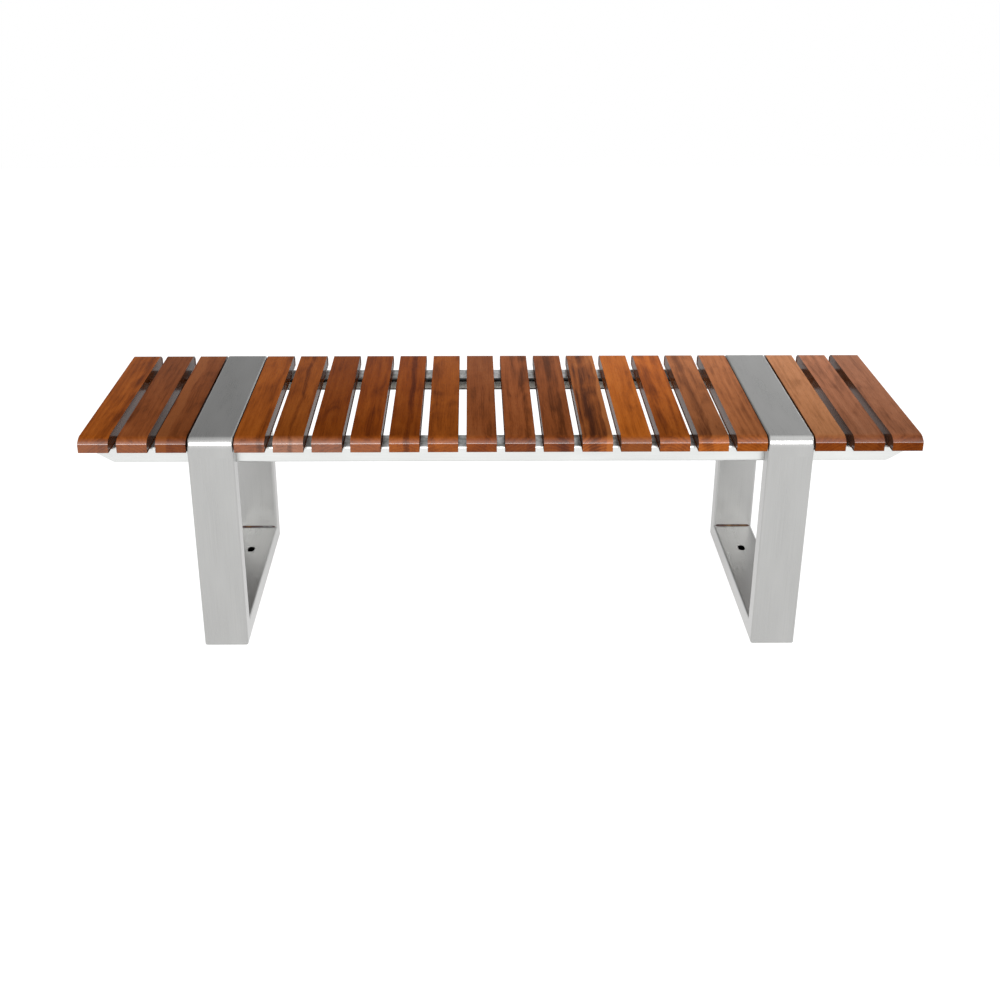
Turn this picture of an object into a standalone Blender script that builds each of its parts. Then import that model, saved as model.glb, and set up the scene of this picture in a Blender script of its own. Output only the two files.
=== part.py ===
"""Backless bench: hardwood slats across two channel rails, carried by two stainless steel hoop legs.

The origin is on the ground under the middle of the seat. +X runs along the seat, +Y to the rear, +Z up.
"""

import math

import bmesh
import bpy

# Driving dimensions, in metres.
BENCH_LENGTH = 1.600
BENCH_DEPTH = 0.490
SEAT_HEIGHT = 0.450

SLAT_COUNT = 20
OUTER_SLATS = 3
SLAT_WIDTH = 0.0575
SLAT_THICKNESS = 0.0275
SLAT_LENGTH = 0.488
SLAT_ARRIS = 0.0015
NOSE_RADIUS = 0.031
NOSE_TURN = math.radians(47)
NOSE_STEPS = 6

HOOP_WIDTH = 0.087
HOOP_SECTION = 0.038
HOOP_WALL = 0.003
HOOP_EDGE_RADIUS = 0.004
HOOP_EDGE_STEPS = 3
SHOULDER_RADIUS = 0.020
SHOULDER_STEPS = 6
BAND_TO_SLAT = 0.002

ANCHOR_SLOT_WIDTH = 0.015
ANCHOR_SLOT_LENGTH = 0.024
ANCHOR_SPACING = 0.192
ANCHOR_END_STEPS = 12

RAIL_HEIGHT = 0.032
RAIL_TOP_FLANGE = 0.057
RAIL_BOTTOM_FLANGE = 0.042
RAIL_SHEET = 0.003
RAIL_SETBACK = 0.028
RAIL_END_INSET = 0.007
RAIL_CHAMFER = 0.053

# Clearance left between pieces that touch.
GAP = 0.0003

# Places worked out from the driving dimensions.
INNER_SLATS = SLAT_COUNT - 2 * OUTER_SLATS
PLAIN_GAPS = 2 * (OUTER_SLATS - 1) + INNER_SLATS - 1
SLAT_GAP = (
    BENCH_LENGTH - SLAT_COUNT * SLAT_WIDTH - 2 * HOOP_WIDTH - 4 * BAND_TO_SLAT
) / PLAIN_GAPS
OUTER_GROUP = OUTER_SLATS * SLAT_WIDTH + (OUTER_SLATS - 1) * SLAT_GAP
HOOP_CENTRE = BENCH_LENGTH / 2 - OUTER_GROUP - BAND_TO_SLAT - HOOP_WIDTH / 2
FRONT = -BENCH_DEPTH / 2
SLAT_FRONT = -SLAT_LENGTH / 2
SLAT_UNDERSIDE = SEAT_HEIGHT - SLAT_THICKNESS
RAIL_TOP = SLAT_UNDERSIDE - GAP
RAIL_BOTTOM = RAIL_TOP - RAIL_HEIGHT
RAIL_FRONT = SLAT_FRONT + RAIL_SETBACK
BAND_JOINT = SEAT_HEIGHT - HOOP_SECTION


def remove_objects():
    """Start from an empty scene."""
    for item in list(bpy.data.objects):
        bpy.data.objects.remove(item, do_unlink=True)


def make_material(name, colour, roughness, metallic):
    """Principled material with one colour, roughness and metallic value."""
    material = bpy.data.materials.new(name)
    material.use_nodes = True
    shader = material.node_tree.nodes["Principled BSDF"]
    shader.inputs["Base Color"].default_value = (*colour, 1.0)
    shader.inputs["Roughness"].default_value = roughness
    shader.inputs["Metallic"].default_value = metallic
    return material


def add_object(name, mesh_data, location, material):
    """Turn a bmesh into a named object with outward faces and a material."""
    bmesh.ops.recalc_face_normals(mesh_data, faces=mesh_data.faces)
    mesh = bpy.data.meshes.new(name)
    mesh_data.to_mesh(mesh)
    mesh_data.free()
    mesh.materials.append(material)
    item = bpy.data.objects.new(name, mesh)
    item.location = location
    bpy.context.scene.collection.objects.link(item)
    return item


def slat_outline():
    """Side view of a slat as (y, z) points about its length's middle and its underside."""
    nose = []
    start = SLAT_LENGTH / 2 - NOSE_RADIUS * math.sin(NOSE_TURN)
    for step in range(NOSE_STEPS + 1):
        angle = NOSE_TURN * step / NOSE_STEPS
        fall = NOSE_RADIUS * (1 - math.cos(angle))
        nose.append((start + NOSE_RADIUS * math.sin(angle), SLAT_THICKNESS - fall))
    rear = nose + [(SLAT_LENGTH / 2, 0.0)]
    front = [(-y, z) for y, z in reversed(rear)]
    return front + rear


def make_slat(name, centre, material):
    """One solid timber slat, running front to rear, with rounded noses and eased long edges."""
    half = SLAT_WIDTH / 2
    data = bmesh.new()
    points = slat_outline()
    near = [data.verts.new((-half, y, z)) for y, z in points]
    far = [data.verts.new((half, y, z)) for y, z in points]
    count = len(points)
    for index in range(count):
        after = (index + 1) % count
        data.faces.new((near[index], near[after], far[after], far[index]))
    ends = [data.faces.new(near), data.faces.new(far)]
    rims = [edge for face in ends for edge in face.edges]
    bmesh.ops.bevel(data, geom=rims, offset=SLAT_ARRIS, segments=1, affect="EDGES")
    return add_object(name, data, (centre, 0.0, SLAT_UNDERSIDE), material)


def section_outline(inset, radius):
    """Hoop section as (x, depth) points, depth counted inwards from the hoop's outer face."""
    half = HOOP_WIDTH / 2 - inset
    corners = [
        (-half + radius, inset + radius, math.pi),
        (half - radius, inset + radius, 1.5 * math.pi),
        (half - radius, HOOP_SECTION - inset - radius, 0.0),
        (-half + radius, HOOP_SECTION - inset - radius, 0.5 * math.pi),
    ]
    points = []
    for x, depth, start in corners:
        for step in range(HOOP_EDGE_STEPS + 1):
            angle = start + math.pi / 2 * step / HOOP_EDGE_STEPS
            points.append((x + radius * math.cos(angle), depth + radius * math.sin(angle)))
    return points


def front_at(height, mitred=False):
    """Station across the front post: level at a height, or rising with depth for a mitre."""
    return lambda depth: (FRONT + depth, height + (depth if mitred else 0.0))


def shoulder(angle):
    """Station on the front top corner, from the front face (angle 0) to the top face (90 degrees)."""

    def place(depth):
        reach = max(SHOULDER_RADIUS - depth, 0.0)
        centre = max(SHOULDER_RADIUS, depth)
        y = FRONT + centre - reach * math.cos(angle)
        return y, SEAT_HEIGHT - centre + reach * math.sin(angle)

    return place


def foot_mitre(depth):
    """Station at the front end of the foot, cut at 45 degrees."""
    return FRONT + depth, depth


def mirrored(station):
    """The same station at the rear of the hoop."""

    def place(depth):
        y, z = station(depth)
        return -y, z

    return place


def make_member(name, centre, stations, material):
    """Hollow section drawn through stations, each of which places a depth as (y, z)."""
    data = bmesh.new()
    outer_outline = section_outline(0.0, HOOP_EDGE_RADIUS)
    inner_outline = section_outline(HOOP_WALL, HOOP_EDGE_RADIUS - HOOP_WALL / 2)
    walls = []
    for outline in (outer_outline, inner_outline):
        rings = []
        for station in stations:
            rings.append([data.verts.new((x, *station(depth))) for x, depth in outline])
        walls.append(rings)
    outer, inner = walls
    count = len(outer_outline)
    for index in range(count):
        after = (index + 1) % count
        for rings in walls:
            for ring, following in zip(rings, rings[1:]):
                data.faces.new((ring[index], ring[after], following[after], following[index]))
        for end in (0, -1):
            data.faces.new((outer[end][index], outer[end][after], inner[end][after], inner[end][index]))
    bmesh.ops.remove_doubles(data, verts=data.verts, dist=1e-6)
    return add_object(name, data, (centre, 0.0, 0.0), material)


def anchor_outline():
    """Round-ended slot as (x, y) points about its middle, with its length along y."""
    radius = ANCHOR_SLOT_WIDTH / 2
    points = []
    for end in (1, -1):
        for step in range(ANCHOR_END_STEPS + 1):
            angle = math.pi * step / ANCHOR_END_STEPS
            along = ANCHOR_SLOT_LENGTH / 2 - radius + radius * math.sin(angle)
            points.append((end * radius * math.cos(angle), end * along))
    return points


def cut_anchor_holes(foot, centre):
    """Cut both walls of a foot through for its two ground anchors."""
    for place, y in (("front", -ANCHOR_SPACING / 2), ("rear", ANCHOR_SPACING / 2)):
        data = bmesh.new()
        points = anchor_outline()
        below, above = [
            [data.verts.new((point_x, point_y, z)) for point_x, point_y in points]
            for z in (-HOOP_SECTION, 2 * HOOP_SECTION)
        ]
        count = len(points)
        for index in range(count):
            after = (index + 1) % count
            data.faces.new((below[index], below[after], above[after], above[index]))
        data.faces.new(below)
        data.faces.new(above)
        cutter = add_object(f"{foot.name}_{place}_cutter", data, (centre, y, 0.0), foot.active_material)
        cutter.hide_render = True
        cutter.display_type = "WIRE"
        cut = foot.modifiers.new(f"{place}_anchor_hole", "BOOLEAN")
        cut.operation = "DIFFERENCE"
        cut.solver = "EXACT"
        cut.object = cutter


def make_hoop(side, centre, material):
    """One hoop leg: a seat band with radiused shoulders, two posts and a foot, mitred at the ground."""
    turns = [math.pi / 2 * step / SHOULDER_STEPS for step in range(SHOULDER_STEPS + 1)]
    front_half = [front_at(BAND_JOINT)] + [shoulder(turn) for turn in turns]
    band = front_half + [mirrored(station) for station in reversed(front_half)]
    post = [front_at(GAP * math.sqrt(2), mitred=True), front_at(BAND_JOINT - GAP)]
    make_member(f"{side}_seat_band", centre, band, material)
    make_member(f"{side}_front_post", centre, post, material)
    make_member(f"{side}_rear_post", centre, [mirrored(station) for station in post], material)
    foot = make_member(f"{side}_foot", centre, [foot_mitre, mirrored(foot_mitre)], material)
    cut_anchor_holes(foot, centre)


def rail_outline():
    """Channel rail as (y, z) points for the front rail: web in front, flanges towards the rear."""
    top_edge = RAIL_FRONT + RAIL_TOP_FLANGE
    bottom_edge = RAIL_FRONT + RAIL_BOTTOM_FLANGE
    return [
        (RAIL_FRONT, RAIL_BOTTOM),
        (bottom_edge, RAIL_BOTTOM),
        (bottom_edge, RAIL_BOTTOM + RAIL_SHEET),
        (RAIL_FRONT + RAIL_SHEET, RAIL_BOTTOM + RAIL_SHEET),
        (RAIL_FRONT + RAIL_SHEET, RAIL_TOP - RAIL_SHEET),
        (top_edge, RAIL_TOP - RAIL_SHEET),
        (top_edge, RAIL_TOP),
        (RAIL_FRONT, RAIL_TOP),
    ]


def make_rail(name, start, end, facing, material):
    """Length of channel from start to end; an end at the bench's own end is cut back underneath."""
    limit = BENCH_LENGTH / 2 - RAIL_END_INSET
    data = bmesh.new()
    rings = []
    for x in (start, end):
        cut_back = math.copysign(RAIL_CHAMFER, x) if abs(x) >= limit else 0.0
        ring = []
        for y, z in rail_outline():
            below = (RAIL_TOP - z) / RAIL_HEIGHT
            ring.append(data.verts.new((x - cut_back * below, facing * y, z)))
        rings.append(ring)
    near, far = rings
    count = len(near)
    for index in range(count):
        after = (index + 1) % count
        data.faces.new((near[index], near[after], far[after], far[index]))
    data.faces.new(near)
    data.faces.new(far)
    return add_object(name, data, (0.0, 0.0, 0.0), material)


def make_rails(material):
    """Front and rear rails, each cut into three lengths that butt against the hoops' sides."""
    inner = HOOP_CENTRE - HOOP_WIDTH / 2 - GAP
    outer = HOOP_CENTRE + HOOP_WIDTH / 2 + GAP
    limit = BENCH_LENGTH / 2 - RAIL_END_INSET
    lengths = {"left": (-limit, -outer), "centre": (-inner, inner), "right": (outer, limit)}
    for row, facing in (("front", 1), ("rear", -1)):
        for place, (start, end) in lengths.items():
            make_rail(f"{row}_rail_{place}", start, end, facing, material)


def slat_centres():
    """X of each slat's middle, from left to right."""
    centres = []
    edge = -BENCH_LENGTH / 2
    for number in range(SLAT_COUNT):
        centres.append(edge + SLAT_WIDTH / 2)
        edge += SLAT_WIDTH
        beside_band = number + 1 in (OUTER_SLATS, SLAT_COUNT - OUTER_SLATS)
        edge += HOOP_WIDTH + 2 * BAND_TO_SLAT if beside_band else SLAT_GAP
    return centres


def build():
    """Model the whole bench."""
    remove_objects()
    timber = make_material("oiled_hardwood", (0.30, 0.105, 0.038), 0.35, 0.0)
    steel = make_material("brushed_stainless", (0.62, 0.62, 0.60), 0.32, 1.0)
    for number, centre in enumerate(slat_centres(), start=1):
        make_slat(f"slat_{number:02d}", centre, timber)
    for side, centre in (("left", -HOOP_CENTRE), ("right", HOOP_CENTRE)):
        make_hoop(side, centre, steel)
    make_rails(steel)


build()
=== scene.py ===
"""Looks of the backless bench: varnished hardwood slats on brushed stainless hoop legs and folded rails.

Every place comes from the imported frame, in metres: +X along the seat, +Y to the rear, +Z up.
"""

import math
import random
from collections import namedtuple

import bmesh
import bpy
from mathutils import Euler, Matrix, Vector


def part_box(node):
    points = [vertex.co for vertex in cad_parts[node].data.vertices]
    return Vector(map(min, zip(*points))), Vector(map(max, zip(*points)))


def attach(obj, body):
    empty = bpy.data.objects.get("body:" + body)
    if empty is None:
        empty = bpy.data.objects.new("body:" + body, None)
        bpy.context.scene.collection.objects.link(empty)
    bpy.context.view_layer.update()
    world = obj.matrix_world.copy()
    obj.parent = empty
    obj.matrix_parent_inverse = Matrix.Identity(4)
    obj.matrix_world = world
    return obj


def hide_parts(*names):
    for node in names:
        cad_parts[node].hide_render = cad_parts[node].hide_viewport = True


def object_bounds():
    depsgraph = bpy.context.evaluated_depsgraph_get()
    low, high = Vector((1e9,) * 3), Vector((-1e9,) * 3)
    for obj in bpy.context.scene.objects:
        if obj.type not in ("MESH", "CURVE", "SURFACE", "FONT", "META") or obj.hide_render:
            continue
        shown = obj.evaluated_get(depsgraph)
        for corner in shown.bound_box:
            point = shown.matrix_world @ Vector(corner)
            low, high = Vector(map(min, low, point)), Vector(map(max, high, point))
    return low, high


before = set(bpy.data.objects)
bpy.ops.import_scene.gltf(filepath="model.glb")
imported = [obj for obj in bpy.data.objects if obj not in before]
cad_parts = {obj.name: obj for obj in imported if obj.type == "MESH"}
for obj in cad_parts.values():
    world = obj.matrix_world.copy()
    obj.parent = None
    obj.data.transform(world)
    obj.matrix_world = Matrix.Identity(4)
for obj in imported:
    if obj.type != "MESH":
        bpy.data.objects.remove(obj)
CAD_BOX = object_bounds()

SLAT_COUNT = 20

# Shapes that the frame's boxes don't give, as the CAD source has them.
NOSE_RADIUS = 0.031
NOSE_TURN = math.radians(47)
SHOULDER_RADIUS = 0.020
HOOP_WALL = 0.003
RAIL_SHEET = 0.003
RAIL_BOTTOM_FLANGE = 0.042
RAIL_CHAMFER = 0.053
ANCHOR_SLOT_WIDTH = 0.015
ANCHOR_SLOT_LENGTH = 0.024
ANCHOR_SPACING = 0.192

# Rounded edges of the finished pieces, which the CAD leaves sharp or draws more plainly.
NOSE_EDGE_RADIUS = 0.0035
SLAT_FOOT_RADIUS = 0.001
HOOP_EDGE_RADIUS = 0.0045
CORNER_RADIUS = 0.0015
BEND_RADIUS = 0.0045

# How far a slat's side faces are sunk behind its outline.
SLAT_RIM = 0.0014

# How many steps each rounded stretch, and the slats' rim, is drawn in.
NOSE_STEPS = 20
NOSE_EDGE_STEPS = 8
SLAT_FOOT_STEPS = 4
SLAT_RIM_STEPS = 4
HOOP_EDGE_STEPS = 6
SHOULDER_STEPS = 20
CORNER_STEPS = 4
BEND_STEPS = 6
ANCHOR_END_STEPS = 32

# Screws, which only this model has. The profile is in shares of the head's radius and height.
SCREW_HEAD_RADIUS = 0.0050
SCREW_HEAD_HEIGHT = 0.0028
SCREW_HEAD_PROFILE = ((1.0, 0.0), (0.97, 0.45), (0.80, 0.85), (0.55, 1.0))
SCREW_HEAD_SIDES = 36
SCREW_SOCKET_RADIUS = 0.0019
SCREW_SOCKET_DEPTH = 0.0016

# Weld beads, also only here. A bead is thinner between its ripples and at its two ends, given as shares of
# its radius, and fills out from the ends at a slope.
WELD_RADIUS = 0.0030
WELD_RIPPLE = 0.0018
WELD_SIDES = 12
WELD_STEPS_PER_RIPPLE = 4
WELD_HOLLOW = 0.86
WELD_END = 0.35
WELD_END_SLOPE = 12

# Faces that meet at less than this are shaded as one smooth surface (degrees).
SMOOTH_BELOW = 32.0
WELD_SMOOTH_BELOW = 60.0

# Points closer than this are joined into one (m).
SAME_POINT = 1e-6

# Keeps a sharp corner of an outline from running far off when the outline is inset.
LEAST_MITRE = 0.3


# ---------------------------------------------------------------- mesh helpers


def turns(start, end, steps):
    """Evenly spaced angles, with both ends."""
    return [start + (end - start) * step / steps for step in range(steps + 1)]


def arc(centre, radius, start, end, steps):
    """Points of a circular arc, with both of its ends."""
    u, v = centre
    return [(u + radius * math.cos(angle), v + radius * math.sin(angle)) for angle in turns(start, end, steps)]


def link(name, mesh_data, location=(0.0, 0.0, 0.0), smooth_below=SMOOTH_BELOW):
    """Make an object from a bmesh, shaded smooth except across corners sharper than an angle."""
    bmesh.ops.recalc_face_normals(mesh_data, faces=mesh_data.faces)
    mesh = bpy.data.meshes.new(name)
    mesh_data.to_mesh(mesh)
    mesh_data.free()
    mesh.shade_smooth()
    mesh.set_sharp_from_angle(angle=math.radians(smooth_below))
    item = bpy.data.objects.new(name, mesh)
    item.location = location
    bpy.context.scene.collection.objects.link(item)
    return item


def flatten_normals(item):
    """Keep large flat faces flat-shaded beside their rounded edges."""
    weighted = item.modifiers.new("even_faces", "WEIGHTED_NORMAL")
    weighted.mode = "FACE_AREA"
    weighted.keep_sharp = True


def bridge(data, rings):
    """Join rings of vertices, one to the next, with four-sided faces. Returns the faces in rows."""
    count = len(rings[0])
    rows = []
    for ring, following in zip(rings, rings[1:]):
        row = []
        for index in range(count):
            after = (index + 1) % count
            row.append(data.faces.new((ring[index], ring[after], following[after], following[index])))
        rows.append(row)
    return rows


def inset(points, amount):
    """Move a closed outline inwards. The points run clockwise, seen with the first axis to the right."""
    moved = []
    count = len(points)
    for index, (u, v) in enumerate(points):
        before = Vector(points[index - 1])
        after = Vector(points[(index + 1) % count])
        first = (Vector((u, v)) - before).normalized()
        second = (after - Vector((u, v))).normalized()
        normal_1 = Vector((first.y, -first.x))
        normal_2 = Vector((second.y, -second.x))
        mitre = (normal_1 + normal_2).normalized()
        reach = amount / max(mitre.dot(normal_1), LEAST_MITRE)
        moved.append((u + mitre.x * reach, v + mitre.y * reach))
    return moved


def finish_piece(item, material, slot, *nodes):
    """Give a piece its material and its place in the frame."""
    item.data.materials.clear()
    item.data.materials.append(material)
    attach(item, "root")
    if nodes:
        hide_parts(*nodes)
    return item


# ------------------------------------------------------------ material helpers


class Nodes:
    """Adds shader nodes to one tree, each in one call."""

    def __init__(self, tree):
        self.tree = tree

    def add(self, kind, inputs=None, **settings):
        """Add a node, with its settings, and set or link its inputs by name or number."""
        made = self.tree.nodes.new("ShaderNode" + kind)
        for name, value in settings.items():
            setattr(made, name, value)
        self.feed(made, inputs or {})
        return made

    def feed(self, made, inputs):
        """Link each input that is given a socket, and set the others."""
        for name, value in inputs.items():
            if isinstance(value, bpy.types.NodeSocket):
                self.tree.links.new(value, made.inputs[name])
            else:
                made.inputs[name].default_value = value

    def math(self, operation, first, second=0.0):
        """A sum, product or other result of one or two values."""
        return self.add("Math", {0: first, 1: second}, operation=operation).outputs[0]

    def swing(self, value, strength):
        """A value from 0 to 1 turned into one that swings about 0 with some strength."""
        return self.math("MULTIPLY", self.math("SUBTRACT", value, 0.5), strength)

    def parts(self, coordinates):
        """The X, Y and Z parts of one kind of texture coordinates."""
        source = self.add("TexCoord").outputs[coordinates]
        return self.add("SeparateXYZ", {0: source}).outputs

    def mapped(self, scale, shift=(0.0, 0.0, 0.0), turn=(0.0, 0.0, 0.0), uv=None):
        """The piece's own coordinates, or its UV map's, shifted and then scaled and turned."""
        if uv:
            source = self.add("UVMap", uv_map=uv).outputs["UV"]
        else:
            source = self.add("TexCoord").outputs["Object"]
        moved = self.add("VectorMath", {0: source, 1: shift}, operation="ADD").outputs[0]
        return self.add("Mapping", {"Vector": moved, "Rotation": turn, "Scale": scale}).outputs[0]

    def noise(self, vector, detail=3.0, roughness=0.5, distortion=0.0):
        """Noise of scale 1, from 0 to 1."""
        settings = {"Scale": 1.0, "Detail": detail, "Roughness": roughness, "Distortion": distortion}
        return self.add("TexNoise", {"Vector": vector, **settings}).outputs["Fac"]

    def ramp(self, value, stops, interpolation="LINEAR"):
        """A colour ramp through (place, colour) stops; a stop's colour may be one grey number."""
        made = self.add("ValToRGB", {"Fac": value})
        band = made.color_ramp
        band.interpolation = interpolation
        while len(band.elements) < len(stops):
            band.elements.new(0.5)
        for element, (place, colour) in zip(band.elements, stops):
            element.position = place
            if isinstance(colour, float):
                colour = (colour, colour, colour)
            element.color = (*colour, 1.0)
        return made.outputs["Color"]

    def mix(self, share, first, second, blend="MIX"):
        """Two colours blended, by a share of the second."""
        made = self.add("Mix", data_type="RGBA", blend_type=blend)
        self.feed(made, {0: share, 6: first, 7: second})
        return made.outputs[2]

    def tinted(self, colour, factor):
        """A colour times another."""
        return self.mix(1.0, colour, factor, "MULTIPLY")

    def bump(self, height, strength, distance):
        """A surface's direction, changed by a height."""
        made = self.add("Bump", {"Height": height, "Strength": strength, "Distance": distance})
        return made.outputs["Normal"]


class Shader(Nodes):
    """The nodes of one new material."""

    def __init__(self, name):
        self.material = bpy.data.materials.new(name)
        self.material.use_nodes = True
        super().__init__(self.material.node_tree)
        self.surface = self.tree.nodes["Principled BSDF"]

    def surface_of(self, **inputs):
        """Set or link the shader's own inputs, whose names are written with _ for spaces."""
        self.feed(self.surface, {name.replace("_", " "): value for name, value in inputs.items()})


def shade(colour, factor):
    """A colour made darker or lighter."""
    return tuple(channel * factor for channel in colour)


# ------------------------------------------------------------------------ wood

# Heartwood colours of the boards, as (dark grain, body, light grain).
RUSSET = ((0.070, 0.012, 0.001), (0.140, 0.029, 0.002), (0.195, 0.048, 0.005))
AMBER = ((0.105, 0.022, 0.002), (0.205, 0.049, 0.005), (0.275, 0.076, 0.010))
HONEY = ((0.195, 0.045, 0.004), (0.320, 0.080, 0.008), (0.395, 0.115, 0.016))
CHESTNUT = ((0.080, 0.020, 0.004), (0.170, 0.045, 0.011), (0.225, 0.068, 0.019))
WALNUT = ((0.050, 0.013, 0.004), (0.150, 0.041, 0.009), (0.230, 0.075, 0.020))
CEDAR = ((0.115, 0.034, 0.010), (0.225, 0.074, 0.024), (0.290, 0.103, 0.037))
ROSY = ((0.115, 0.038, 0.015), (0.225, 0.082, 0.037), (0.290, 0.115, 0.056))
TAN = ((0.235, 0.088, 0.031), (0.350, 0.142, 0.058), (0.405, 0.172, 0.074))

# A dark and a light streak, of the one board that has two.
FLAMED = [(-0.004, 0.014, 0.30), (0.025, 0.008, -0.80)]

# One row for each slat, from left to right: its colours, how light they are and how much lighter painted light
# makes them at the rear, how far the growth rings sit beside and below it (m), how strongly they show, its
# dark or light streaks as (place across, width, strength), and its ends' colours, how light they are and how
# glossy.
Board = namedtuple("Board", "tones lightness fade beside below contrast streaks ends")
BOARDS = [
    (AMBER, 0.80, 1.10, -0.050, 0.060, 0.12, [(0.018, 0.010, 0.15)], (AMBER, 0.72, 0.85)),
    (CHESTNUT, 0.70, 1.00, 0.070, 0.090, 0.12, [], (AMBER, 0.77, 0.70)),
    (CHESTNUT, 0.53, 1.45, 0.020, 0.120, 0.12, [(-0.017, 0.012, -0.85)], (RUSSET, 0.75, 0.35)),
    (AMBER, 0.71, 1.25, -0.015, 0.080, 0.10, [(0.020, 0.008, 0.20)], (CHESTNUT, 0.96, 0.80)),
    (AMBER, 0.56, 1.50, 0.010, 0.060, 0.10, [(0.002, 0.006, 0.25)], (ROSY, 0.94, 1.00)),
    (RUSSET, 0.66, 1.40, -0.060, 0.110, 0.10, [], (CHESTNUT, 0.94, 1.00)),
    (RUSSET, 0.75, 1.45, 0.035, 0.090, 0.10, [], (AMBER, 0.89, 0.70)),
    (RUSSET, 0.67, 1.80, 0.000, 0.070, 0.10, [(0.006, 0.008, 0.35)], (AMBER, 0.92, 0.30)),
    (AMBER, 0.67, 1.40, -0.030, 0.100, 0.09, [(-0.020, 0.008, 0.15)], (AMBER, 0.90, 0.25)),
    (CHESTNUT, 0.69, 1.30, 0.050, 0.080, 0.10, [], (RUSSET, 0.98, 0.25)),
    (CHESTNUT, 0.74, 1.50, -0.045, 0.070, 0.12, [(0.018, 0.010, 0.20)], (RUSSET, 0.77, 0.30)),
    (CHESTNUT, 0.68, 1.50, 0.015, 0.060, 0.14, [(0.006, 0.016, 0.25)], (RUSSET, 0.88, 0.30)),
    (WALNUT, 0.73, 1.75, -0.020, 0.040, 0.20, FLAMED, (AMBER, 0.96, 0.30)),
    (HONEY, 0.67, 1.50, 0.060, 0.120, 0.12, [], (AMBER, 0.68, 0.25)),
    (AMBER, 0.71, 2.30, 0.012, 0.035, 0.16, [(-0.012, 0.010, 0.12)], (AMBER, 0.96, 0.25)),
    (CEDAR, 0.58, 2.20, -0.030, 0.080, 0.14, [(-0.010, 0.014, 0.25)], (HONEY, 0.77, 0.15)),
    (CEDAR, 0.79, 1.60, 0.040, 0.055, 0.16, [], (AMBER, 0.91, 0.05)),
    (TAN, 0.65, 1.55, -0.070, 0.090, 0.12, [], (RUSSET, 0.87, 0.00)),
    (ROSY, 0.64, 2.00, 0.055, 0.100, 0.14, [], (RUSSET, 0.71, 0.00)),
    (ROSY, 0.72, 1.40, -0.020, 0.090, 0.12, [], (RUSSET, 0.77, 0.00)),
]

# How often each pattern repeats in a metre across, along and below a board.
RING_FLOW = (1.0, 0.10, 1.0)
BROAD_GRAIN = (30.0, 7.0, 30.0)
FIBRE_GRAIN = (420.0, 11.0, 420.0)
FINE_GRAIN = (2200.0, 55.0, 2200.0)
PORE_GRAIN = (1500.0, 45.0, 1500.0)
WANDER_GRAIN = (4.0, 7.0, 4.0)

# How strongly each pattern shows. A pore's colour is a share of the board's darkest.
BROAD_CONTRAST = 0.8
FIBRE_CONTRAST = 0.6
FINE_CONTRAST = 0.8
PORE_CONTRAST = 0.45
PORE_SHADE = 0.35
PORE_DEPTH = 0.8

# How far a streak wanders (m), and how far the growth rings may lean (radians).
STREAK_WANDER = 0.022
RING_LEAN = 0.05

# How far from the middle of a board the painted light that lightens its rear starts and ends (m).
REAR_LIGHT_REACH = 0.20

# How much of the clear coat the end faces have, and the least that a nose has.
END_COAT = 0.48
NOSE_COAT = 0.55


def streak(shader, across, wander, place, width):
    """A soft-edged lengthwise streak, 0 to 1, at a place across the board."""
    offset = shader.math("SUBTRACT", across, place)
    offset = shader.math("ADD", offset, wander)
    share = shader.math("DIVIDE", shader.math("ABSOLUTE", offset), width)
    return shader.ramp(share, [(0.0, 1.0), (0.45, 0.7), (1.0, 0.0)], "EASE")


def face_parts(shader):
    """How much a face looks sideways, endways and up: the first two from 0 to 1, the last from -1 to 1."""
    normal = shader.parts("Normal")
    return shader.math("ABSOLUTE", normal["X"]), shader.math("ABSOLUTE", normal["Y"]), normal["Z"]


def wood_figure(shader, board, shift, tilt):
    """The board's figure, as its tone from dark to light, and the fibres in it."""
    rings = shader.add(
        "TexWave",
        {
            "Vector": shader.mapped(RING_FLOW, shift=(board.beside, shift[1], board.below), turn=tilt),
            "Scale": 52.0,
            "Distortion": 9.0,
            "Detail": 3.0,
            "Detail Scale": 0.35,
            "Detail Roughness": 0.55,
        },
        wave_type="RINGS",
        rings_direction="Y",
        wave_profile="SIN",
    ).outputs["Fac"]
    broad = shader.noise(shader.mapped(BROAD_GRAIN, shift), detail=3.0, distortion=0.9)
    fibre = shader.noise(shader.mapped(FIBRE_GRAIN, shift), detail=5.0, roughness=0.6)
    tone = shader.math("ADD", shader.swing(rings, board.contrast), shader.swing(broad, BROAD_CONTRAST))
    tone = shader.math("ADD", tone, shader.swing(fibre, FIBRE_CONTRAST))
    tone = shader.math("ADD", tone, 0.5)

    across = shader.parts("Object")["X"]
    wander = shader.swing(shader.noise(shader.mapped(WANDER_GRAIN, shift), detail=2.0), STREAK_WANDER)
    for place, width, strength in board.streaks:
        mask = streak(shader, across, wander, place, width)
        tone = shader.math("SUBTRACT", tone, shader.math("MULTIPLY", mask, strength))
    return tone, fibre


def wood_colour(shader, board, tone, along):
    """The board's colours, lightened towards the rear by painted light, and turning over the noses into those
    of its ends.
    """

    def stained(tones, lightness):
        """The figure in one palette."""
        dark, body, light = [shade(colour, lightness) for colour in tones]
        return shader.ramp(tone, [(0.0, shade(dark, 0.7)), (0.22, dark), (0.5, body), (0.85, light)])

    end_tones, end_lightness, _ = board.ends
    place = shader.math("ADD", shader.parts("Object")["Y"], 0.5)
    # Painted light: the colour is made lighter towards the board's rear.
    rear_lightened = shader.ramp(place, [(0.5 - REAR_LIGHT_REACH, 1.0), (0.5 + REAR_LIGHT_REACH, board.fade)])
    rolled = shader.ramp(along, [(0.10, 0.0), (0.66, 1.0)])
    colour = shader.tinted(stained(board.tones, board.lightness), rear_lightened)
    return shader.mix(rolled, colour, stained(end_tones, end_lightness))


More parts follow.
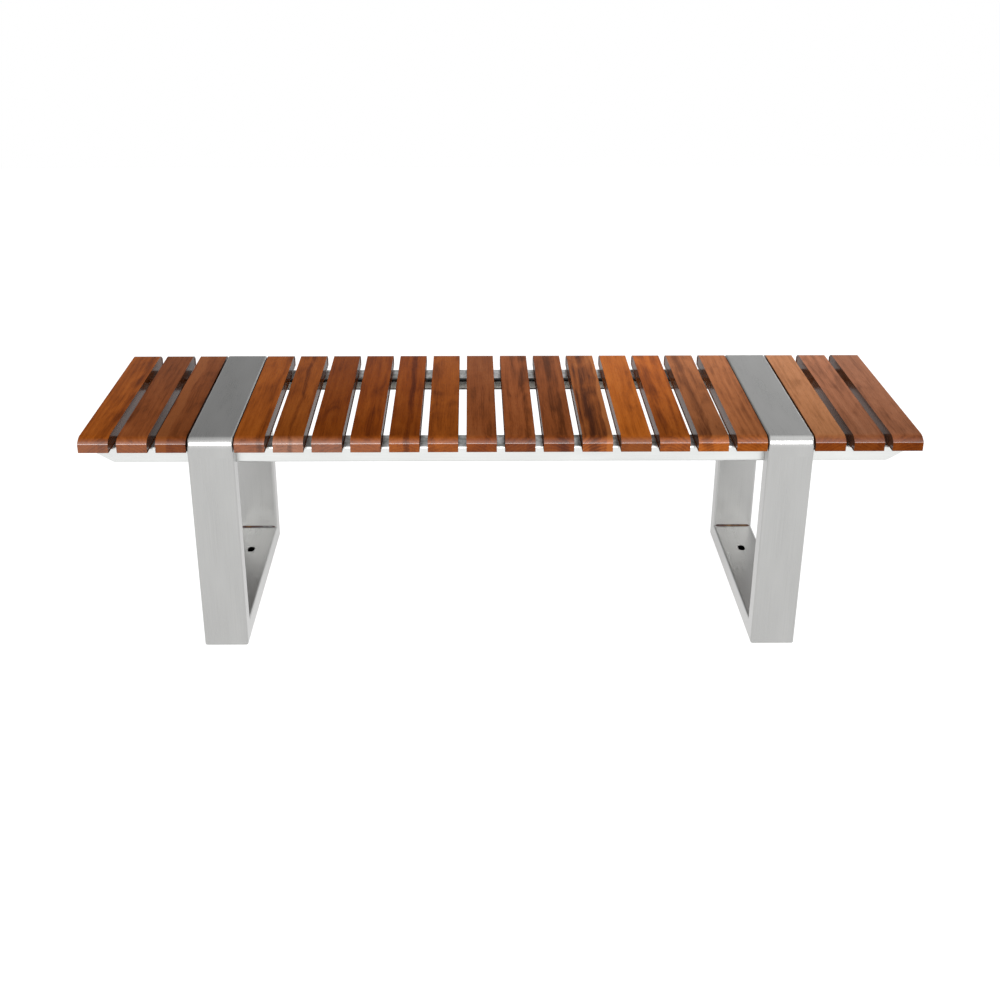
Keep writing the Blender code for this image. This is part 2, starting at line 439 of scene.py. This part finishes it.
def wood_gloss(shader, board, across, along, nose):
    """Clear coat: thick on noses and ends, and on the top only where it is seen at a low angle."""
    end_gloss = board.ends[2]
    facing = shader.add("LayerWeight", {"Blend": 0.5}).outputs["Facing"]
    top = shader.ramp(facing, [(0.62, 0.03), (0.645, 0.10), (0.68, 0.26), (0.76, 0.34), (0.92, 0.45)])
    edge = shader.math(
        "MULTIPLY",
        shader.ramp(across, [(0.30, 0.0), (0.45, 1.0), (0.85, 1.0), (0.95, 0.0)]),
        shader.ramp(facing, [(0.60, 1.0), (0.80, 0.0)]),
    )
    lacquered = shader.math("MULTIPLY", nose, NOSE_COAT + (1 - NOSE_COAT) * end_gloss)
    end = shader.ramp(along, [(0.92, 0.0), (0.97, 1.0)])
    gloss = shader.math("MAXIMUM", top, shader.math("MAXIMUM", lacquered, edge))
    return shader.math("MAXIMUM", gloss, shader.math("MULTIPLY", end, END_COAT * end_gloss))


def wood_material(number):
    """Clear-coated hardwood for one slat, with rings, fibres, pores and streaks of its own."""
    board = Board(*BOARDS[number - 1])
    draw = random.Random(number)
    shader = Shader(f"timber_{number:02d}")
    shift = (draw.uniform(-1.0, 1.0), draw.uniform(-1.0, 1.0), draw.uniform(-1.0, 1.0))
    tilt = (draw.uniform(-RING_LEAN, RING_LEAN), 0.0, draw.uniform(-RING_LEAN, RING_LEAN))
    across, along, upward = face_parts(shader)
    nose = shader.math(
        "MULTIPLY",
        shader.ramp(along, [(0.05, 0.0), (0.30, 1.0)]),
        shader.ramp(upward, [(0.15, 0.0), (0.30, 1.0), (0.75, 1.0), (0.85, 0.35), (0.96, 0.0)]),
    )

    tone, fibre = wood_figure(shader, board, shift, tilt)
    fine = shader.noise(shader.mapped(FINE_GRAIN, shift), detail=2.0)
    grain = shader.ramp(fine, [(0.30, 0.70), (0.48, 1.0), (0.75, 1.08)])
    pores = shader.noise(shader.mapped(PORE_GRAIN, shift), detail=1.0)
    pore = shader.ramp(pores, [(0.66, 0.0), (0.74, 1.0)])
    pore_colour = (*shade(board.tones[0], PORE_SHADE * board.lightness), 1.0)
    # Painted highlight: the colour is made a little lighter over the rounded noses.
    nose_highlight = shader.ramp(nose, [(0.0, 1.0), (1.0, 1.08)])
    # Painted shade: the long arrises and the side faces, which face the gaps between slats, are darkened to
    # about half.
    side_shade = shader.ramp(across, [(0.15, 1.0), (0.45, 0.55), (0.90, 0.45), (0.98, 0.5)])

    colour = wood_colour(shader, board, tone, along)
    colour = shader.mix(FINE_CONTRAST, colour, grain, "MULTIPLY")
    colour = shader.mix(shader.math("MULTIPLY", pore, PORE_CONTRAST), colour, pore_colour)
    colour = shader.tinted(shader.tinted(colour, nose_highlight), side_shade)
    height = shader.math("SUBTRACT", fibre, shader.math("MULTIPLY", pore, PORE_DEPTH))
    shader.surface_of(
        Base_Color=colour,
        Roughness=shader.ramp(fibre, [(0.3, 0.50), (0.7, 0.38)]),
        Normal=shader.bump(height, 0.25, 0.0004),
        Coat_Weight=wood_gloss(shader, board, across, along, nose),
        Coat_Roughness=0.24,
        Coat_IOR=2.0,
        Specular_IOR_Level=0.0,
    )
    return shader.material


# ----------------------------------------------------------------------- steel

# Colours, and how often each pattern repeats in a metre across and along the brush marks. The rails' inside
# colour is painted shade, their bottom flange's is painted light, and their top flange's blotches are painted
# reflections.
LEG_STEEL = (0.435, 0.435, 0.428)
RAIL_STEEL = (0.66, 0.67, 0.66)
RAIL_INSIDE_SHADE = (0.03, 0.03, 0.03, 1.0)
RAIL_BOTTOM_LIT = (0.90, 0.90, 0.84, 1.0)
BRUSH_LINES = (1900.0, 6.0, 1.0)
BRUSH_HAIRS = (5200.0, 14.0, 1.0)
SMEARS = (24.0, 5.0, 1.0)
REFLECTION_BLOTCHES = (95.0, 60.0, 1.0)

# Roughness of the steel, and how much the smears and hairs change it.
STEEL_ROUGHNESS = 0.30
SMEAR_ROUGHNESS = 0.10
HAIR_ROUGHNESS = 0.12


def brushed_steel(name, colour, anisotropy):
    """Shader of stainless steel brushed along each member, with fine scratches and faint smears."""
    shader = Shader(name)
    lines = shader.noise(shader.mapped(BRUSH_LINES, uv="brush"), detail=3.0, roughness=0.6)
    hairs = shader.noise(shader.mapped(BRUSH_HAIRS, uv="brush"), detail=2.0)
    smears = shader.noise(shader.mapped(SMEARS, uv="brush"), detail=3.0, distortion=0.4)
    tangent = shader.add("Tangent", direction_type="UV_MAP", uv_map="brush").outputs[0]
    tint = shader.ramp(lines, [(0.25, shade(colour, 0.90)), (0.5, colour), (0.75, shade(colour, 1.06))])
    cloud = shader.ramp(smears, [(0.3, 0.93), (0.7, 1.0)])
    rough = shader.math("ADD", shader.swing(smears, SMEAR_ROUGHNESS), STEEL_ROUGHNESS)
    rough = shader.math("ADD", rough, shader.swing(hairs, HAIR_ROUGHNESS))
    height = shader.math("ADD", lines, shader.math("MULTIPLY", hairs, 0.6))
    shader.surface_of(
        Base_Color=shader.tinted(tint, cloud),
        Metallic=1.0,
        Roughness=rough,
        Anisotropic=anisotropy,
        Tangent=tangent,
        Normal=shader.bump(height, 0.10, 0.0002),
    )
    return shader


def rail_material(row):
    """Steel of one rail: brushed outside, with painted shade inside, painted reflections in blotches on its
    top flange and painted light on its pale bottom one.
    """
    shader = brushed_steel(f"{row}_rail_steel", RAIL_STEEL, anisotropy=0.4)
    brushed = shader.surface.inputs["Base Color"].links[0].from_socket
    low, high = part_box(f"{row}_rail_centre")
    middle = (low.z + high.z) / 2
    mouth = 1.0 if row == "front" else -1.0
    normal = shader.parts("Normal")
    level = shader.parts("Object")["Z"]
    # Painted shade: the web's face inside the channel is made nearly black.
    inside = shader.ramp(shader.math("MULTIPLY", normal["Y"], mouth), [(0.5, 0.0), (0.8, 1.0)])
    flange = shader.ramp(normal["Z"], [(0.6, 0.0), (0.9, 1.0)])
    bottom = shader.math("MULTIPLY", flange, shader.math("LESS_THAN", level, middle))
    top = shader.math("MULTIPLY", flange, shader.math("GREATER_THAN", level, middle))
    # Painted reflections: dark and pale blotches on the top flange stand in for the slats mirrored in it.
    painted_reflections = shader.noise(shader.mapped(REFLECTION_BLOTCHES), detail=2.0)
    painted_reflections = shader.ramp(painted_reflections, [(0.35, (0.22, 0.23, 0.21)), (0.65, (0.72, 0.72, 0.72))])
    colour = shader.mix(shader.math("MULTIPLY", top, 0.85), brushed, painted_reflections)
    colour = shader.mix(inside, colour, RAIL_INSIDE_SHADE)
    # Painted light: the bottom flange's upper face gets a pale, non-metallic colour, as if lit through the
    # gaps between slats.
    colour = shader.mix(bottom, colour, RAIL_BOTTOM_LIT)
    shader.surface_of(Base_Color=colour, Metallic=shader.math("SUBTRACT", 1.0, bottom))
    return shader.material


def weld_material():
    """Weld bead with straw, brown and blue heat tint in patches."""
    shader = Shader("weld_tint")
    patches = shader.noise(shader.mapped((38.0, 38.0, 38.0)), detail=3.0)
    tints = [
        (0.30, (0.30, 0.29, 0.27)),
        (0.47, (0.20, 0.12, 0.06)),
        (0.60, (0.09, 0.05, 0.05)),
        (0.72, (0.22, 0.22, 0.22)),
    ]
    grit = shader.noise(shader.mapped((900.0, 900.0, 900.0)), detail=3.0)
    shader.surface_of(
        Base_Color=shader.ramp(patches, tints),
        Metallic=0.9,
        Roughness=shader.ramp(grit, [(0.3, 0.35), (0.7, 0.6)]),
        Normal=shader.bump(grit, 0.3, 0.0003),
    )
    return shader.material


def screw_material():
    """Plain stainless screw heads with turning marks."""
    shader = Shader("screw_steel")
    marks = shader.noise(shader.mapped((700.0, 700.0, 90.0)), detail=3.0)
    shader.surface_of(
        Base_Color=shader.ramp(marks, [(0.3, 0.42), (0.7, 0.58)]),
        Metallic=1.0,
        Roughness=shader.ramp(marks, [(0.3, 0.28), (0.7, 0.40)]),
    )
    return shader.material


# ----------------------------------------------------------------------- slats


def slat_outline(length, thickness):
    """Side view of a slat as (y, z) points, clockwise from the front foot, about its length's middle.

    The nose is one long roll that ends in a small round edge, which touches both it and the end face.
    """
    end = length / 2
    centre = Vector((end - NOSE_RADIUS * math.sin(NOSE_TURN), thickness - NOSE_RADIUS))
    edge_y = end - NOSE_EDGE_RADIUS
    reach = NOSE_RADIUS - NOSE_EDGE_RADIUS
    touch = math.asin((edge_y - centre.x) / reach)
    edge_centre = (edge_y, centre.y + reach * math.cos(touch))
    nose = arc(centre, NOSE_RADIUS, math.pi / 2, math.pi / 2 - touch, NOSE_STEPS)
    nose += arc(edge_centre, NOSE_EDGE_RADIUS, math.pi / 2 - touch, 0.0, NOSE_EDGE_STEPS)[1:]
    foot_centre = (end - SLAT_FOOT_RADIUS, SLAT_FOOT_RADIUS)
    rear = nose + arc(foot_centre, SLAT_FOOT_RADIUS, 0.0, -math.pi / 2, SLAT_FOOT_STEPS)
    front = [(-y, z) for y, z in reversed(rear)]
    return front + rear


def make_slat(number):
    """One slat, whose side faces are sunk behind its outline by a small sloping rim."""
    node = f"slat_{number:02d}"
    low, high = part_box(node)
    middle = (low + high) / 2
    half = (high.x - low.x) / 2
    outline = slat_outline(high.y - low.y, high.z - low.z)
    depths = [SLAT_RIM * (1 - math.sin(angle)) for angle in turns(0.0, math.pi / 2, SLAT_RIM_STEPS)]
    data = bmesh.new()
    rings = []
    for side, sunken in ((-1, depths), (1, reversed(depths))):
        for depth in sunken:
            x = side * (half - depth)
            rings.append([data.verts.new((x, y, z)) for y, z in inset(outline, depth)])
    bridge(data, rings)
    data.faces.new(rings[0])
    data.faces.new(rings[-1])
    item = link(f"board_{number:02d}", data, (middle.x, middle.y, low.z))
    flatten_normals(item)
    finish_piece(item, wood_material(number), "timber", node)


# ----------------------------------------------------------------------- hoops


class Hoop:
    """Sizes of one hoop leg, read from its nodes, and the stations that its members are drawn through."""

    def __init__(self, side):
        low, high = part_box(f"{side}_seat_band")
        self.side = side
        self.centre = (low.x + high.x) / 2
        self.width = high.x - low.x
        self.front = low.y
        self.top = high.z
        self.section = high.z - low.z
        self.joint = low.z

    def outline(self, depth_in, radius):
        """Section as (x, depth) points; depth is counted inwards from the hoop's outer face."""
        half = self.width / 2 - depth_in
        low, high = depth_in + radius, self.section - depth_in - radius
        corners = [(-half + radius, low), (half - radius, low), (half - radius, high), (-half + radius, high)]
        points = []
        for quarter, corner in enumerate(corners):
            start = math.pi / 2 * (quarter + 2)
            points += arc(corner, radius, start, start + math.pi / 2, HOOP_EDGE_STEPS)
        return points

    def level(self, height):
        """Station across the front post at a height."""
        return lambda depth: (self.front + depth, height)

    def corner(self, angle, radius, upper):
        """Station on a front corner, from the post (angle 0) to the band or the foot (90 degrees)."""

        def place(depth):
            reach = max(radius - depth, 0.0)
            centre = max(radius, depth)
            y = self.front + centre - reach * math.cos(angle)
            z = centre - reach * math.sin(angle)
            return (y, self.top - z) if upper else (y, z)

        return place


def mirrored(station):
    """The same station at the rear."""

    def place(depth):
        y, z = station(depth)
        return -y, z

    return place


def outline_lengths(points):
    """Distance round a closed outline up to each point, and back to the first."""
    lengths = [0.0]
    for index in range(len(points)):
        here = Vector(points[index])
        following = Vector(points[(index + 1) % len(points)])
        lengths.append(lengths[-1] + (following - here).length)
    return lengths


def make_member(name, hoop, stations, material, node):
    """Hollow section drawn through stations, with a UV map that runs round it (U) and along it (V)."""
    along = [0.0]
    middles = [Vector(station(0.0)) for station in stations]
    for here, following in zip(middles, middles[1:]):
        along.append(along[-1] + (following - here).length)
    data = bmesh.new()
    brush = data.loops.layers.uv.new("brush")
    ends = []
    for depth_in, radius in ((0.0, HOOP_EDGE_RADIUS), (HOOP_WALL, HOOP_EDGE_RADIUS / 2)):
        outline = hoop.outline(depth_in, radius)
        around = outline_lengths(outline)
        rings = [[data.verts.new((x, *station(depth))) for x, depth in outline] for station in stations]
        for row, faces in enumerate(bridge(data, rings)):
            for column, face in enumerate(faces):
                corners = [(column, row), (column + 1, row), (column + 1, row + 1), (column, row + 1)]
                for loop, (u, v) in zip(face.loops, corners):
                    loop[brush].uv = (around[u], along[v])
        ends.append((rings[0], rings[-1]))
    for outside, inside in zip(*ends):
        for index in range(len(outside)):
            after = (index + 1) % len(outside)
            data.faces.new((outside[index], outside[after], inside[after], inside[index]))
    bmesh.ops.remove_doubles(data, verts=data.verts, dist=SAME_POINT)
    item = link(name, data, (hoop.centre, 0.0, 0.0))
    return finish_piece(item, material, "leg_steel", node)


def drill_foot(foot, hoop):
    """Cut the two anchor holes through both walls of a foot and bake the cut into its mesh."""
    for y in (-ANCHOR_SPACING / 2, ANCHOR_SPACING / 2):
        radius = ANCHOR_SLOT_WIDTH / 2
        reach = ANCHOR_SLOT_LENGTH / 2 - radius
        outline = arc((0.0, reach), radius, 0.0, math.pi, ANCHOR_END_STEPS)
        outline += arc((0.0, -reach), radius, math.pi, 2 * math.pi, ANCHOR_END_STEPS)
        data = bmesh.new()
        levels = (-hoop.section, 2 * hoop.section)
        rings = [[data.verts.new((slot_x, slot_y, z)) for slot_x, slot_y in outline] for z in levels]
        bridge(data, rings)
        data.faces.new(rings[0])
        data.faces.new(rings[1])
        drill = link("drill", data, (hoop.centre, y, 0.0))
        cut = foot.modifiers.new("anchor_hole", "BOOLEAN")
        cut.operation = "DIFFERENCE"
        cut.solver = "EXACT"
        cut.object = drill
        bpy.context.view_layer.update()
        evaluated = foot.evaluated_get(bpy.context.evaluated_depsgraph_get())
        foot.data = bpy.data.meshes.new_from_object(evaluated)
        foot.modifiers.clear()
        bpy.data.objects.remove(drill)
    foot.data.set_sharp_from_angle(angle=math.radians(SMOOTH_BELOW))


def make_hoop(side, steel):
    """Band, posts and foot of one hoop, welded and ground flush, so that they meet with no gap."""
    hoop = Hoop(side)
    quarter = math.pi / 2
    shoulder = [hoop.corner(turn, SHOULDER_RADIUS, True) for turn in turns(0.0, quarter, SHOULDER_STEPS)]
    band_front = [hoop.level(hoop.joint)] + shoulder
    band = band_front + [mirrored(station) for station in reversed(band_front)]
    heel = [hoop.corner(turn, CORNER_RADIUS, False) for turn in turns(quarter / 2, 0.0, CORNER_STEPS)]
    post = heel + [hoop.level(hoop.joint)]
    toe = [hoop.corner(turn, CORNER_RADIUS, False) for turn in turns(quarter / 2, quarter, CORNER_STEPS)]
    foot = toe + [mirrored(station) for station in reversed(toe)]
    pieces = [
        make_member(f"{side}_band_steel", hoop, band, steel, f"{side}_seat_band"),
        make_member(f"{side}_front_leg", hoop, post, steel, f"{side}_front_post"),
        make_member(f"{side}_rear_leg", hoop, [mirrored(s) for s in post], steel, f"{side}_rear_post"),
        make_member(f"{side}_foot_steel", hoop, foot, steel, f"{side}_foot"),
    ]
    drill_foot(pieces[-1], hoop)
    for piece in pieces:
        flatten_normals(piece)
    return hoop


# ----------------------------------------------------------------------- rails


def channel_outline(height, top_flange):
    """Folded channel as (depth, z) points from its web's face, z from its underside."""
    inner = BEND_RADIUS - RAIL_SHEET
    quarter = math.pi / 2
    low = (BEND_RADIUS, BEND_RADIUS)
    high = (BEND_RADIUS, height - BEND_RADIUS)
    outside = arc(low, BEND_RADIUS, 3 * quarter, 2 * quarter, BEND_STEPS)
    outside += arc(high, BEND_RADIUS, 2 * quarter, quarter, BEND_STEPS)
    inside = arc(high, inner, quarter, 2 * quarter, BEND_STEPS)
    inside += arc(low, inner, 2 * quarter, 3 * quarter, BEND_STEPS)
    return (
        [(RAIL_BOTTOM_FLANGE, 0.0)]
        + outside
        + [(top_flange, height), (top_flange, height - RAIL_SHEET)]
        + inside
        + [(RAIL_BOTTOM_FLANGE, RAIL_SHEET)]
    )


def make_rail(row, part, steel):
    """One length of rail. The bench's own ends are cut back underneath, as the CAD's are."""
    node = f"{row}_rail_{part}"
    low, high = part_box(node)
    height = high.z - low.z
    facing = 1 if row == "front" else -1
    web = low.y if row == "front" else high.y
    outline = channel_outline(height, high.y - low.y)
    around = outline_lengths(outline)
    data = bmesh.new()
    brush = data.loops.layers.uv.new("brush")
    rings = []
    for x, free in ((low.x, part == "left"), (high.x, part == "right")):
        slope = math.copysign(RAIL_CHAMFER, x) if free else 0.0
        ring = []
        for depth, z in outline:
            cut_back = slope * (height - z) / height
            ring.append(data.verts.new((x - cut_back, web + facing * depth, low.z + z)))
        rings.append(ring)
    for column, face in enumerate(bridge(data, rings)[0]):
        for loop, (u, ring) in zip(face.loops, [(column, 0), (column + 1, 0), (column + 1, 1), (column, 1)]):
            loop[brush].uv = (around[u], loop.vert.co.x)
    data.faces.new(rings[0])
    data.faces.new(rings[1])
    item = link(f"{row}_channel_{part}", data)
    flatten_normals(item)
    finish_piece(item, steel, "rail_steel", node)


# ------------------------------------------------------------- welds and screws


def make_weld(name, start, end, material, slot="leg_steel"):
    """Rippled weld bead, half sunk into the corner that it runs along."""
    start, end = Vector(start), Vector(end)
    length = (end - start).length
    direction = (end - start) / length
    side = direction.orthogonal().normalized()
    other = direction.cross(side)
    data = bmesh.new()
    rings = []
    count = int(length / WELD_RIPPLE) * WELD_STEPS_PER_RIPPLE
    for step in range(count + 1):
        share = step / count
        wave = abs(math.sin(math.pi * share * length / WELD_RIPPLE))
        swell = WELD_HOLLOW + (1 - WELD_HOLLOW) * wave
        taper = min(1.0, WELD_END + WELD_END_SLOPE * min(share, 1 - share))
        radius = WELD_RADIUS * swell * taper
        centre = start + (end - start) * share
        ring = []
        for spoke in range(WELD_SIDES):
            angle = 2 * math.pi * spoke / WELD_SIDES
            ring.append(data.verts.new(centre + radius * (side * math.cos(angle) + other * math.sin(angle))))
        rings.append(ring)
    bridge(data, rings)
    data.faces.new(rings[0])
    data.faces.new(rings[-1])
    finish_piece(link(name, data, smooth_below=WELD_SMOOTH_BELOW), material, slot)


def weld_hoop(hoop, material):
    """Beads in the four inner corners of a hoop."""
    reach = hoop.width / 2 - HOOP_EDGE_RADIUS
    inner = -hoop.front - hoop.section
    for level, z in (("lower", hoop.section), ("upper", hoop.joint)):
        for place, y in (("front", -inner), ("rear", inner)):
            ends = [(hoop.centre - reach, y, z), (hoop.centre + reach, y, z)]
            make_weld(f"{hoop.side}_{level}_{place}_weld", *ends, material)


def weld_rails(hoops, material):
    """Beads where each rail's web butts against a hoop's side."""
    for row in ("front", "rear"):
        low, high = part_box(f"{row}_rail_centre")
        y = low.y if row == "front" else high.y
        inwards = RAIL_SHEET if row == "front" else -RAIL_SHEET
        for hoop in hoops:
            for side, place in ((-1, "left"), (1, "right")):
                x = hoop.centre + side * hoop.width / 2
                ends = [(x, y + inwards, low.z + BEND_RADIUS), (x, y + inwards, high.z - BEND_RADIUS)]
                name = f"{hoop.side}_{row}_{place}_rail_weld"
                make_weld(name, *ends, material, "rail_steel")


def screw_mesh():
    """Low round screw head, seen from below, with a hexagon socket."""
    data = bmesh.new()
    rings = []
    turned = turns(0.0, 2 * math.pi, SCREW_HEAD_SIDES)[:-1]
    for width, depth in SCREW_HEAD_PROFILE:
        radius, z = SCREW_HEAD_RADIUS * width, -SCREW_HEAD_HEIGHT * depth
        rings.append([data.verts.new((radius * math.cos(a), radius * math.sin(a), z)) for a in turned])
    sixth = math.pi / 3
    for z in (-SCREW_HEAD_HEIGHT, -SCREW_HEAD_HEIGHT + SCREW_SOCKET_DEPTH):
        ring = []
        for angle in turned:
            radius = SCREW_SOCKET_RADIUS * math.cos(sixth / 2) / math.cos(angle % sixth - sixth / 2)
            ring.append(data.verts.new((radius * math.cos(angle), radius * math.sin(angle), z)))
        rings.append(ring)
    bridge(data, rings)
    data.faces.new(rings[0])
    data.faces.new(rings[-1])
    item = link("screw_pattern", data)
    mesh = item.data
    bpy.data.objects.remove(item)
    return mesh


def make_screws(material):
    """One screw at each crossing of a slat and a rail, driven up through the rail's top flange."""
    mesh = screw_mesh()
    for row in ("front", "rear"):
        low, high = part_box(f"{row}_rail_centre")
        y = (low.y + high.y) / 2
        for number in range(1, SLAT_COUNT + 1):
            slat_low, slat_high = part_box(f"slat_{number:02d}")
            item = bpy.data.objects.new(f"screw_{row}_{number:02d}", mesh)
            item.location = ((slat_low.x + slat_high.x) / 2, y, high.z - RAIL_SHEET)
            bpy.context.scene.collection.objects.link(item)
            finish_piece(item, material, "rail_steel")


# ---------------------------------------------------------------------- studio

# The floor lies a hair below the ground level, so that it doesn't share a plane with the feet (m).
FLOOR_SIZE = 9.0
FLOOR_DROP = 0.0003

# Soft lights as (name, place, width and height, power). All of them face the bench's middle.
LIGHTS = [
    ("front_softbox", (0.0, -4.2, 3.7), (6.5, 2.8), 300.0),
    ("left_panel", (-4.0, 0.6, 1.8), (2.4, 2.4), 30.0),
    ("right_panel", (4.0, 1.0, 1.8), (2.4, 2.4), 50.0),
]

# Brightness of the room round the bench, as stops along one part of the direction, which runs from -1 to 1.
REAR_UPWARDS = [(-0.10, 1.4), (0.16, 1.4), (0.24, 0.46), (0.38, 0.43), (0.70, 0.62), (1.0, 1.3)]
REAR_SIDEWAYS = [(-0.50, 0.60), (-0.16, 0.68), (0.18, 1.25), (0.60, 1.25)]
FRONT_UPWARDS = [(-0.10, 1.4), (0.30, 1.5), (0.50, 1.3), (1.0, 1.3)]
FRONT_SIDEWAYS = [(-0.60, 0.45), (-0.40, 1.0), (0.40, 1.0), (0.60, 0.45)]
FRONT_TO_REAR = [(-0.20, 0.0), (0.0, 1.0)]

# Camera: lens and film width (mm), shift in shares of the picture, place (m) and aim (degrees).
CAMERA_LENS = 47.45
CAMERA_FILM = 36.0
CAMERA_SHIFT = (0.0225, -0.0552)
CAMERA_PLACE = (-0.0573, -2.5311, 1.4222)
CAMERA_DOWN = 23.285
CAMERA_TURN = -0.320
CAMERA_ROLL = -0.024


def make_floor():
    """Plain pale floor, bright as a lit studio table."""
    bpy.ops.mesh.primitive_plane_add(size=FLOOR_SIZE, location=(0.0, 0.0, -FLOOR_DROP))
    floor = bpy.context.active_object
    floor.name = "studio_floor"
    shader = Shader("floor_paint")
    speckle = shader.noise(shader.mapped((3.0, 3.0, 3.0)), detail=2.0)
    shader.surface_of(
        Base_Color=shader.ramp(speckle, [(0.3, 0.18), (0.7, 0.20)]),
        Roughness=0.9,
        Specular_IOR_Level=0.1,
        Emission_Color=(1.0, 1.0, 1.0, 1.0),
        Emission_Strength=0.92,
    )
    floor.data.materials.append(shader.material)


def make_world():
    """White to the camera; to the bench, a dim room above a pale backdrop."""
    world = bpy.data.worlds.new("studio")
    bpy.context.scene.world = world
    world.use_nodes = True
    world.node_tree.nodes.clear()
    sky = Nodes(world.node_tree)
    direction = sky.parts("Generated")

    def band(part, stops):
        """Brightness by one part of the direction."""
        spread = sky.add("MapRange", {"Value": direction[part], "From Min": -1.0}).outputs["Result"]
        return sky.ramp(spread, [((place + 1.0) / 2, grey) for place, grey in stops])

    front = sky.tinted(band("Z", FRONT_UPWARDS), band("X", FRONT_SIDEWAYS))
    rear = sky.tinted(band("Z", REAR_UPWARDS), band("X", REAR_SIDEWAYS))
    room = sky.mix(band("Y", FRONT_TO_REAR), front, rear)
    dim = sky.add("Background", {"Color": room}).outputs[0]
    white = sky.add("Background", {"Color": (1.0, 1.0, 1.0, 1.0)}).outputs[0]
    seen = sky.add("LightPath").outputs["Is Camera Ray"]
    chosen = sky.add("MixShader", {0: seen, 1: dim, 2: white}).outputs[0]
    sky.add("OutputWorld", {"Surface": chosen})


def make_lights(target):
    """A large softbox in front and above, and a panel on each side."""
    for name, place, size, power in LIGHTS:
        lamp = bpy.data.lights.new(name, "AREA")
        lamp.shape = "RECTANGLE"
        lamp.size, lamp.size_y = size
        lamp.energy = power
        item = bpy.data.objects.new(name, lamp)
        item.location = place
        item.rotation_euler = (target - Vector(place)).to_track_quat("-Z", "Y").to_euler()
        item.visible_camera = False
        bpy.context.scene.collection.objects.link(item)


def make_camera():
    """Camera in front of the bench and a little to the left, looking down at the seat."""
    camera = bpy.data.cameras.new("camera")
    camera.lens = CAMERA_LENS
    camera.sensor_width = CAMERA_FILM
    camera.shift_x, camera.shift_y = CAMERA_SHIFT
    item = bpy.data.objects.new("camera", camera)
    item.location = CAMERA_PLACE
    item.rotation_euler = Euler((math.radians(90.0 - CAMERA_DOWN), 0.0, math.radians(CAMERA_TURN)))
    item.rotation_euler.rotate_axis("Z", math.radians(CAMERA_ROLL))
    bpy.context.scene.collection.objects.link(item)
    bpy.context.scene.camera = item


# ----------------------------------------------------------------------- build


def build():
    """Make every piece, then the studio."""
    leg_steel = brushed_steel("leg_brushed_steel", LEG_STEEL, anisotropy=0.6).material
    weld = weld_material()
    for number in range(1, SLAT_COUNT + 1):
        make_slat(number)
    hoops = [make_hoop(side, leg_steel) for side in ("left", "right")]
    for hoop in hoops:
        weld_hoop(hoop, weld)
    weld_rails(hoops, weld)
    for row in ("front", "rear"):
        rail_steel = rail_material(row)
        for part in ("left", "centre", "right"):
            make_rail(row, part, rail_steel)
    make_screws(screw_material())
    make_floor()
    make_world()
    low, high = CAD_BOX
    make_lights((low + high) / 2)
    make_camera()
    bpy.context.scene.view_settings.view_transform = "Standard"


build()
